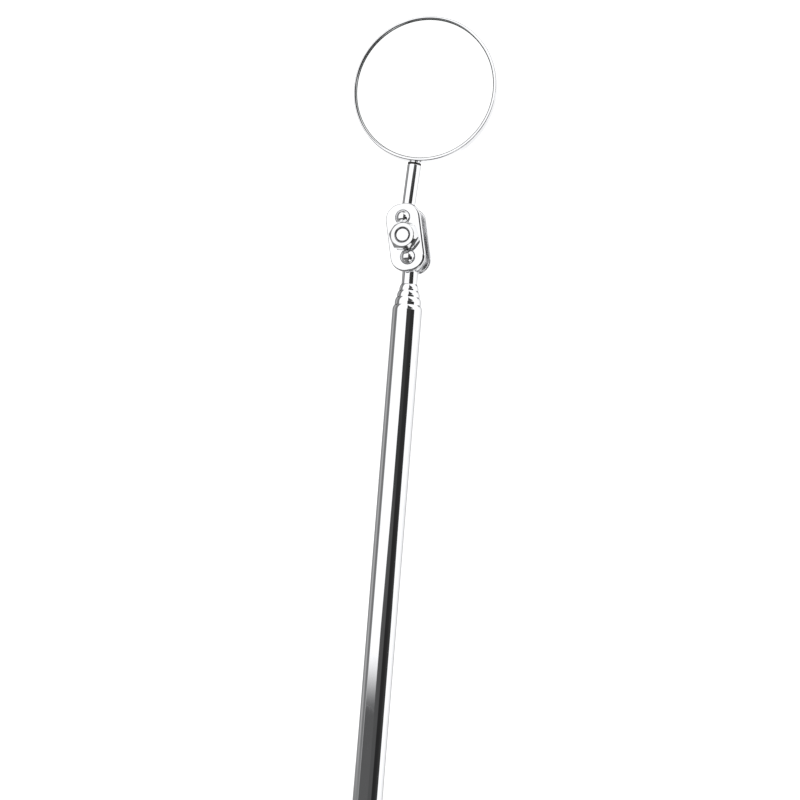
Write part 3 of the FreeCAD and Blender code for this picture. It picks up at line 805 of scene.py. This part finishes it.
def add_slotted_head(builder, path, floor_height, shank_ring):
    """Adds the screw's head: a full rim below the slot's floor, and two lobes beside the slot."""
    under_head = -PLATE_OUTER_FACE
    head_end = under_head - HEAD_HEIGHT
    arc_centre = (HEAD_RADIUS - HEAD_ROUND, head_end + HEAD_ROUND)
    floor_angle = math.degrees(math.asin((floor_height - arc_centre[1]) / HEAD_ROUND))
    floor_radius = arc_centre[0] + HEAD_ROUND * math.cos(math.radians(floor_angle))
    rim = Outline(floor_radius, floor_height).arc(arc_centre, HEAD_ROUND, floor_angle, 0, 4)
    rim.line(HEAD_RADIUS, under_head).line(SCREW_RADIUS, under_head)
    floor_ring, _ = builder.sweep(rim, path, closed=False, last=shank_ring)

    half = SLOT_WIDTH / 2
    steps = 16
    for start in (0, len(path) // 2):
        side = 1 if start == 0 else -1
        rings, normals = [], []
        for step in range(steps + 1):
            turn = math.radians(-90 + (floor_angle + 90) * step / steps)
            radius = arc_centre[0] + HEAD_ROUND * math.cos(turn)
            height = arc_centre[1] + HEAD_ROUND * math.sin(turn)
            edge = math.asin(half / radius)
            ring, ring_normals = [], []
            for part in range(LOBE_PARTS + 1):
                angle = edge + (math.pi - 2 * edge) * part / LOBE_PARTS
                u, v = side * math.cos(angle), side * math.sin(angle)
                ring.append(floor_ring[start + part] if step == steps else
                            builder.point(u * radius, v * radius, height))
                ring_normals.append((u * math.cos(turn), v * math.cos(turn), math.sin(turn)))
            rings.append(ring)
            normals.append(ring_normals)
        for upper, lower, high, low in zip(rings, rings[1:], normals, normals[1:]):
            for i in range(LOBE_PARTS):
                j = i + 1
                builder.face([upper[i], upper[j], lower[j], lower[i]], [high[i], high[j], low[j], low[i]])
        builder.cap([rings[0]], (0, 0, -1))
        wall = [ring[0] for ring in rings] + [ring[-1] for ring in reversed(rings)]
        builder.cap([wall], (0, -side, 0))
    middle = len(path) // 2
    floor = floor_ring[:1] + floor_ring[LOBE_PARTS:middle + 1] + floor_ring[middle + LOBE_PARTS:]
    builder.cap([floor], (0, 0, -1))


def slotted_path(floor_radius):
    """A circle's path with points where the slot's walls cross a circle of the given radius."""
    edge = math.asin(SLOT_WIDTH / 2 / floor_radius)
    turns = []
    for side in (0, math.pi):
        turns += [side + edge + (math.pi - 2 * edge) * part / LOBE_PARTS for part in range(LOBE_PARTS + 1)]
        turns += [side + math.pi - edge + 2 * edge * part / SLOT_PARTS for part in range(1, SLOT_PARTS)]
    return [(0, 0, math.cos(turn), math.sin(turn)) for turn in turns]


def make_screw(look, thread_shade_look):
    """A slotted pan head screw with a real thread along its shank."""
    builder = Builder()
    under_head = -PLATE_OUTER_FACE
    floor_height = under_head - HEAD_HEIGHT + SLOT_DEPTH
    floor_rise = HEAD_ROUND - SLOT_DEPTH
    path = slotted_path(HEAD_RADIUS - HEAD_ROUND + math.sqrt(HEAD_ROUND ** 2 - floor_rise ** 2))
    rows_per_pitch = 8
    run_in = 0.4
    count = round((SCREW_END - under_head) / THREAD_PITCH * rows_per_pitch)
    rings, heights = [], []
    for row in range(count + 1):
        z = under_head + (SCREW_END - under_head) * row / count
        limit = SCREW_RADIUS - max(0.0, z - (SCREW_END - SCREW_CHAMFER))
        ring = []
        for _, _, u, v in path:
            phase = (z / THREAD_PITCH - math.atan2(v, u) / (2 * math.pi)) % 1
            groove = THREAD_DEPTH * (1 - abs(2 * phase - 1))
            fade = min(1, max(0, (z - under_head) / run_in))
            radius = min(limit, SCREW_RADIUS - groove * fade)
            ring.append(builder.point(u * radius, v * radius, z))
        rings.append(ring)
        heights.append(z)
    free = (0, 0, 0)
    for below, above, z in zip(rings, rings[1:], heights):
        # thread rows take the darkened steel as painted shade; the chamfered end keeps the chrome
        at_end = z > SCREW_END - SCREW_CHAMFER - 0.01
        for i in range(len(path)):
            j = (i + 1) % len(path)
            builder.face([below[i], below[j], above[j], above[i]], [free] * 4, 0 if at_end else 1)
    builder.cap([rings[-1]], (0, 0, 1))
    add_slotted_head(builder, path, floor_height, rings[0])
    return builder.build("clamp_screw_slotted", "link", ["clamp_screw"], IN_LINK,
                         [look, thread_shade_look])


def dress_cad_nodes(looks, foam):
    """Gives the CAD's own pieces that stay their materials."""
    for name, node in frame["nodes"].items():
        if name.startswith("tail_plug"):
            node.material_slots[0].material = looks["brass"]
        elif name.startswith("friction_shells"):
            node.material_slots[0].material = looks["bronze"]
        elif name == "adhesive_pad":
            node.material_slots[0].material = foam


# ---------------------------------------------------------------- studio

WHITE = 1.18
TABLE_WHITE = 1.1
BACKDROP_WHITE = 1.3           # what the camera sees behind everything
TINT = (0.992, 0.992, 1.0, 1)
GAP_SPAN = 100.0               # degrees of azimuth that 1 stands for in the gap's tables
GAP_LEFT = 30.0                # the left table starts this far left of the front


def make_world():
    """A white studio with a dark gap in front, grey to the left and behind, and a dark ceiling.

    Azimuth is in degrees from -Y, the front, and grows towards +X, the right."""
    world = bpy.data.worlds.new("studio")
    bpy.context.scene.world = world
    tree = Tree(world)
    direction = tree.node("ShaderNodeTexCoord").outputs["Generated"]
    axes = tree.node("ShaderNodeSeparateXYZ", {0: direction}).outputs
    front = tree.math("MULTIPLY", axes[1], -1.0)
    azimuth = tree.math("DEGREES", tree.math("ARCTAN2", axes[0], front))
    elevation = tree.math("DEGREES", tree.math("ARCSINE", axes[2]))

    around = tree.table(azimuth, -180, 180, (
        (-180, 0.85), (-150, 0.85), (-144, 0.2), (-131, 0.2), (-124, 0.28), (-109, 0.44),
        (-107, 0.24), (-99, 0.24), (-97, 0.14), (-81, 0.19), (-76, 1.0), (62, 1.0), (103, 1.0),
        (105, 0.88), (124, 0.85), (134, 0.4), (139, 0.4), (145, 0.85), (180, 0.85)))
    around = tree.math("MULTIPLY", around, WHITE)

    # dark gap in front, between two edges whose azimuth changes with elevation
    right_edge = tree.math("MULTIPLY", tree.table(elevation, -90, 90, (
        (-90, 0.62), (-40, 0.73), (-14, 0.73), (-8, 0.66), (0, 0.62), (6, 0.56), (8, 0.51), (10, 0.46),
        (12.2, 0.3), (14.8, 0.27), (16.5, 0.43), (30, 0.38), (46, 0.14), (58, 0.04),
        (66, 0.0), (90, 0.0))), GAP_SPAN)
    left_edge = tree.math("SUBTRACT", tree.math("MULTIPLY", tree.table(elevation, -90, 90, (
        (-90, 0.2), (-40, 0.22), (-14, 0.23), (-6, 0.30), (0, 0.30), (6, 0.26), (8, 0.22), (11, 0.24),
        (13, 0.29), (16, 0.29), (40, 0.3), (90, 0.3))), GAP_SPAN), GAP_LEFT)
    inside = tree.window(azimuth, left_edge, right_edge, 1.6)
    right_dark = tree.table(azimuth, -20, 80, (
        (-20, 0.045), (24, 0.045), (27, 0.028), (50, 0.026), (60, 0.045), (80, 0.06)))
    low_dark = tree.table(azimuth, -20, 80, (
        (-20, 0.09), (22, 0.085), (27, 0.022), (50, 0.026), (58, 0.04), (80, 0.06)))
    high_dark = tree.mix(tree.step(elevation, 17.0, 2.0), 0.13, 0.055)
    dark = tree.mix(tree.step(elevation, -6.0, 3.0), low_dark, right_dark)
    dark = tree.mix(tree.step(elevation, 11.0, 3.0), dark, high_dark)
    shade = tree.mix(inside, around, dark)

    # dark ceiling, and the white table behind and below
    overhead = tree.step(elevation, 74.0, 5.0)
    shade = tree.mix(overhead, shade, 0.02)
    away = tree.math("ABSOLUTE", azimuth)
    behind = tree.step(away, 112.0, 14.0)
    high_behind = tree.math("MULTIPLY", behind, tree.step(elevation, 30.0, 6.0))
    shade = tree.mix(high_behind, shade, 0.03)
    low_behind = tree.math("MULTIPLY", tree.step(away, 150.0, 8.0), tree.below(elevation, -12.5, 1.5))
    shade = tree.mix(low_behind, shade, TABLE_WHITE)

    # grey floor in front on the left, dark to the far left, bright table low on the right
    lower = tree.below(elevation, -17.0, 2.0)
    floor_left = tree.math("MULTIPLY", lower, tree.window(azimuth, -78.0, -3.0, 2.0))
    floor_grey = tree.table(elevation, -90, 0, (
        (-90, 0.1), (-62, 0.2), (-46, 0.22), (-36, 0.12), (-18, 0.1), (0, 0.1)))
    shade = tree.mix(floor_left, shade, floor_grey)
    far_left = tree.math("MULTIPLY", tree.below(elevation, -22.0, 3.0), tree.below(azimuth, -78.0, 3.0))
    shade = tree.mix(far_left, shade, 0.25)
    under = tree.math("MULTIPLY", tree.below(elevation, -40.0, 4.0), tree.step(azimuth, 0.0, 8.0))
    shade = tree.mix(under, shade, 0.05)
    streak = tree.math("MULTIPLY", tree.window(azimuth, -106.0, -82.0, 4.0),
                       tree.window(elevation, -54.0, -38.0, 3.0))
    shade = tree.mix(streak, shade, 0.6)
    table = tree.math("MULTIPLY", tree.window(azimuth, 24.0, 78.0, 4.0),
                      tree.window(elevation, -68.0, -42.0, 3.0))
    shade = tree.mix(table, shade, TABLE_WHITE)

    tint = tree.node("ShaderNodeMix", data_type="RGBA", blend_type="MULTIPLY")
    tree.feed(tint.inputs[0], 1.0)
    tree.feed(tint.inputs[6], shade)
    tree.feed(tint.inputs[7], TINT)
    seen = tree.node("ShaderNodeLightPath").outputs["Is Camera Ray"]
    colour = tree.mix(seen, tint.outputs[2], BACKDROP_WHITE)
    background = tree.node("ShaderNodeBackground", {0: colour, 1: 1.0})
    tree.node("ShaderNodeOutputWorld", {0: background.outputs[0]})


def make_floor(height):
    """A plain pale floor that runs to the horizon; polished metal doesn't mirror it."""
    mesh = bpy.data.meshes.new("floor")
    size = 12.0
    mesh.from_pydata([(-size, -size, height), (size, -size, height), (size, size, height),
                      (-size, size, height)], [], [(0, 1, 2, 3)])
    floor = bpy.data.objects.new("floor", mesh)
    bpy.context.scene.collection.objects.link(floor)
    material = bpy.data.materials.new("floor_white")
    tree = Tree(material)
    speckle = tree.noise(60.0, 3.0)
    shade = tree.mix(speckle, 0.9, 0.92)
    shader = tree.node("ShaderNodeBsdfPrincipled", {"Base Color": shade, "Roughness": 0.9,
                                                    "Specular IOR Level": 0.0})
    tree.node("ShaderNodeOutputMaterial", {0: shader.outputs[0]})
    mesh.materials.append(material)
    floor.visible_glossy = False


def make_sun():
    """Soft light from above that only the floor shows."""
    lamp = bpy.data.lights.new("soft_sun", "SUN")
    lamp.energy = 3.2
    lamp.angle = math.radians(50)
    sun = bpy.data.objects.new("soft_sun", lamp)
    sun.rotation_euler = (math.radians(18), math.radians(-14), 0)
    sun.visible_glossy = False
    bpy.context.scene.collection.objects.link(sun)


def main():
    bpy.context.scene.view_settings.view_transform = "Standard"
    looks = make_materials()
    foam = make_foam()
    for tube in TUBES:
        make_tube(*tube, looks["tube"])
    make_butt_plug(looks["turned"])
    make_lower_ball(looks["turned"])
    make_upper_ball(looks["stem"])
    make_stem(looks["stem"], looks["joint"])
    for side in (1, -1):
        make_plate(side, looks["plate"], looks["plate_back"])
    make_screw(looks["fastener"], looks["thread"])
    make_nut(looks["fastener"], looks["thread"])
    make_frame(looks["frame"])
    # the near-black gap material serves as the painted shadow ring round the glass
    make_glass(looks["mirror"], make_ground_glass(), looks["joint"])
    dress_cad_nodes(looks, foam)
    make_world()
    make_floor(cad_box[0][2])
    make_sun()
    make_camera()


main()
